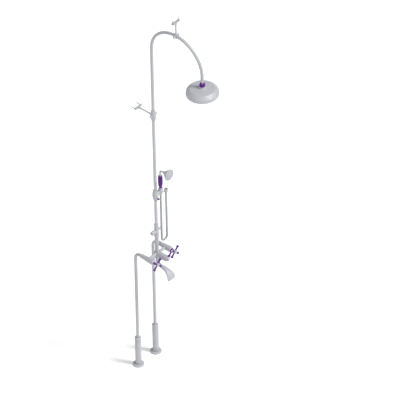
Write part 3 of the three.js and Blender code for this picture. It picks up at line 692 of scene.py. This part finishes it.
def make_slider():
    at = (0, RISER_Y, 0)
    turned("slider_bush", ringed(HOLE_R, [(11.4, 1246), (11.4, 1310)]), place=at, sides=40)
    cup = rounded([(11.5, 1262), (12.9, 1267), (13.6, 1280), (13.6, 1302)], 3)
    rest = [(11.8, HOSE_NUT_Z + 3.5), (11.8, HOSE_NUT_Z + 9.5)]
    bush_hole = [(11.7, 1239), (11.7, 1310.3), (HOLE_R, 1310.3), (HOLE_R, 1317)]
    parts = [
        lathe("body", capped(olive(12.2, 18.4, 38, SLIDER_Z)), UP, (0, 0, 0), 48),
        prism("arm", [(12, 1262), (33, 1268), (33, 1294), (12, 1288)], 7),
        lathe("cup", capped(cup), UP, (HANDSET_X, 0, 0), 48),
        prism("rest_arm", [(54, 1262), (80, 1250), (80, 1254.5), (54, 1268)], 2.5),
        lathe("rest_ring", capped(rest), UP, (HOSE_NUT_X, 0, 0), 40),
    ]
    cuts = [
        lathe("bore", capped(bush_hole), UP, (0, 0, 0), 40),
        lathe("bore", capped([(8.4, 1261), (11, 1303)]), UP, (HANDSET_X, 0, 0), 40),
        lathe("bore", capped([(8.4, HOSE_NUT_Z + 2), (8.4, HOSE_NUT_Z + 11)]), UP, (HOSE_NUT_X, 0, 0), 40),
        block("slot", (HANDSET_X - 6, 0, 1261), (HANDSET_X + 6, 16, 1303)),
        lathe("bore", capped([(2.9, 9), (2.9, 20)]), FORWARD, (0, 0, LOCK_Z), 20),
    ]
    cradle = cast("cradle_cast", parts, cuts, 0.6, 0.3)
    cradle.data.transform(Matrix.Translation((0, RISER_Y * MM, 0)))
    stands_for(cradle, "cradle")
    knob = rounded([(2.5, 18.6), (4.8, 19.2), (6, 22), (5.6, 25.4), (3.4, 27.7)], 4)
    turned("lock_knob", [(0, 11.8), (2.5, 11.8), *knob, (0, 28.3)], FORWARD, (0, RISER_Y, LOCK_Z), SMALL, 0)


# ---- Hand shower ----
def nozzles(name, rings, place, axis, body, size, tall):
    """Small rubber nozzles in rings: (ring radius, count)."""
    vertices, faces = [], []
    turn = Matrix.Translation(Vector(place)) @ axis
    profile = [(size, 0.4), (size * 0.8, -tall * 0.6), (size * 0.55, -tall), (size * 0.25, -tall * 0.7)]
    sides = 8
    for radius, count in rings:
        for i in range(count):
            angle = 2 * math.pi * (i + 0.5 * (count % 4 == 0)) / count
            start = len(vertices)
            for r, z in profile:
                for k in range(sides):
                    t = 2 * math.pi * k / sides
                    x = radius * math.cos(angle) + r * math.cos(t)
                    y = radius * math.sin(angle) + r * math.sin(t)
                    vertices.append(turn @ Vector((x, y, z)))
            for j in range(len(profile) - 1):
                for k in range(sides):
                    m, low, high = (k + 1) % sides, start + j * sides, start + (j + 1) * sides
                    faces.append([low + k, low + m, high + m, high + k])
            faces.append([start + k for k in range(sides)])
            faces.append([start + (len(profile) - 1) * sides + k for k in range(sides)])
    added(smooth(mesh_object(name, vertices, faces), 45, 0), body, "dark_nylon", RUBBER)


def make_handset():
    at = (HANDSET_X, RISER_Y, 0)
    turned("handset_ferrule", [
        (0, 1254.3), (5.6, 1254.3), (6.8, 1258), (7.9, 1263.5), (10.4, 1301), (9.8, 1302.6), (8.4, 1303.6),
        (8, 1304.6), (0, 1304.6),
    ], place=at)
    grip = [(7.6, 1305), (9, 1310), (11, 1318), (13.4, 1336), (14.2, 1356), (13.6, 1378), (11.8, 1393)]
    turned("handset_handle", capped(rounded(grip, 5)), place=at)

    bend = arc(HANDSET_X, RISER_Y - NECK_BEND_R, NECK_BEND_Z, NECK_BEND_R, 180, 90 + BELL_TILT, 14)
    tilt = math.radians(BELL_TILT)
    start = Vector(bend[-1])
    end = start + Vector((0, -math.cos(tilt), math.sin(tilt))) * 4
    ahead = Matrix.Rotation(math.pi / 2 - tilt, 4, "X")
    neck = swept("neck", [(HANDSET_X, RISER_Y, 1398), *bend, end], lambda s: 5.2, (1, 0, 0), 28)
    collar = [(8, 1393.3), (8, 1394.6), (7.4, 1397), (6, 1400.6), (5.6, 1402)]
    collar = lathe("collar", capped(collar), UP, at, 36)
    horn = rounded([(5.3, 0), (5.5, 5), (6.4, 10), (10, 20), (18, 30), (26, 40), (32.6, 49), (34.6, 53)], 5)
    inside = [(32.4, 57), (32.4, 54), (21, 37.5), (12, 29), (0, 26)]
    bell = lathe("bell", [(0, 0), *horn, (35, 54.4), (35, 56.4), (34.4, 57), *inside], ahead, start, 72)
    use(bell, "BOOLEAN", object=neck, operation="UNION", solver="EXACT")
    use(bell, "BOOLEAN", object=collar, operation="UNION", solver="EXACT")
    for tool in (neck, collar):
        bpy.data.objects.remove(tool)
    bell.name = "handset_head_fine"
    stands_for(smooth(bell, 38, 0), "handset_head")
    turned("handset_face", [
        (0, 54.3), (32, 54.3), (32, 56.6), (31, 57.2), (26, 57.6), (25.4, 57.3),
        (24.8, 57.7), (10, 58.4), (0, 58.5),
    ], ahead, start)
    face = ahead @ Matrix.Rotation(math.pi, 4, "X")
    middle = start + Vector((0, -math.cos(tilt), math.sin(tilt))) * 57.9
    rings = [(0, 1), (6, 6), (12, 12), (18, 18), (23, 24)]
    nozzles("handset_nozzles", rings, middle, face, "handset", 0.9, 1.1)


# ---- Overhead rose ----
def make_rose():
    at = (0, ROSE_Y, 0)
    turns = [math.radians(a) for a in range(-80, 49, 8)]
    ball = [(9 * math.cos(t), ROSE_PIVOT_Z + 9 * math.sin(t)) for t in turns]
    turned("rose_ball", [
        (0, 2296), *ball, (6, 2314.5), (6, 2319), (9.6, 2321), (10.2, 2323), (10.2, 2334.6),
        (9.6, 2335.2), (0, 2335.2),
    ], place=at)
    turned("rose_nut", [
        (12.9, 2294.8), (16.4, 2294.8), (16.9, 2296), (17.2, 2298.4), (16.6, 2307), (15.6, 2310.6),
        (14, 2313.5), (8.7, 2313.5), (9.3, 2309.5), (9.8, 2307), (9.8, 2300.2), (12.9, 2300.2),
        (12.9, 2294.8),
    ], place=at)
    low = ROSE_BOTTOM
    shoulder = rounded([
        (19, 2287), (23, 2283), (40, 2280.6), (66, 2278.2), (73.5, 2276.4), (84, 2267.6), (92, 2259.8),
    ], 5)
    turned("rose_dome", [
        (0, 2295), (9.8, 2295), (9.8, 2299.8), (12.5, 2299.8), (12.5, 2294.4), (18, 2294.4), (19, 2292.6),
        *shoulder, (93.6, 2257.4), (94.6, low + 6.2), (95.6, low + 5.4), (96, low + 4.2), (96, low + 0.8),
        (95.2, low), (94, low), (92.6, 2246), (91.8, 2256.5), (72.5, 2273.5), (20, 2279), (0, 2281),
    ], place=at, sides=96, bevel=0.25)
    turned("rose_plate", [
        (0, low + 1.9), (40, low + 1.7), (86, low + 1.5), (91.4, low + 2), (91.8, low + 4),
        (91.6, low + 5), (0, low + 5),
    ], place=at, sides=96)
    rings = [(0, 1)] + [(12 * k, 6 * k) for k in range(1, 8)]
    nozzles("rose_nozzles", rings, (0, ROSE_Y, low + 1.7), UP, "rose", 1.7, 1.8)


# ---- Floor and light ----
FLOOR_REACH = 40000
WORLD_STRENGTH = 0.52
FLOOR_GLOW = 0.12  # keeps the ground white where the legs shade it
SUNS = [
    # name, the direction it shines from, strength, degrees across
    ("key", (0.35, -0.75, 1.0), 2.6, 16),
    ("fill", (-0.9, -0.4, 0.7), 0.35, 30),
]


def make_stage():
    corners = [(x * FLOOR_REACH, y * FLOOR_REACH, 0) for x, y in ((-1, -1), (1, -1), (1, 1), (-1, 1))]
    floor = mesh_object("floor", corners, [[0, 1, 2, 3]])
    floor.location.z = -0.0005
    white = finish_of("floor_paint", (0.93, 0.93, 0.93), (0.915, 0.915, 0.915), 0.8, grain=60, bump=0.01)
    glow = white.node_tree.nodes["Principled BSDF"]
    glow.inputs["Emission Color"].default_value = (1, 1, 1, 1)
    glow.inputs["Emission Strength"].default_value = FLOOR_GLOW
    floor.data.materials.append(white)

    world = bpy.data.worlds.new("studio")
    world.use_nodes = True
    world.node_tree.nodes["Background"].inputs["Color"].default_value = (1, 1, 1, 1)
    world.node_tree.nodes["Background"].inputs["Strength"].default_value = WORLD_STRENGTH
    bpy.context.scene.world = world
    for name, source, power, angle in SUNS:
        light = bpy.data.lights.new(name, "SUN")
        light.energy = power
        light.angle = math.radians(angle)
        lamp = bpy.data.objects.new(name, light)
        lamp.rotation_mode = "QUATERNION"
        lamp.rotation_quaternion = Vector(source).to_track_quat("Z", "Y")
        bpy.context.scene.collection.objects.link(lamp)
    bpy.context.scene.view_settings.view_transform = "Standard"


make_camera()
make_hose()
make_legs()
make_mixer()
make_diverter()
make_spout()
make_tee()
make_riser()
make_stays()
make_slider()
make_handset()
make_rose()
make_stage()
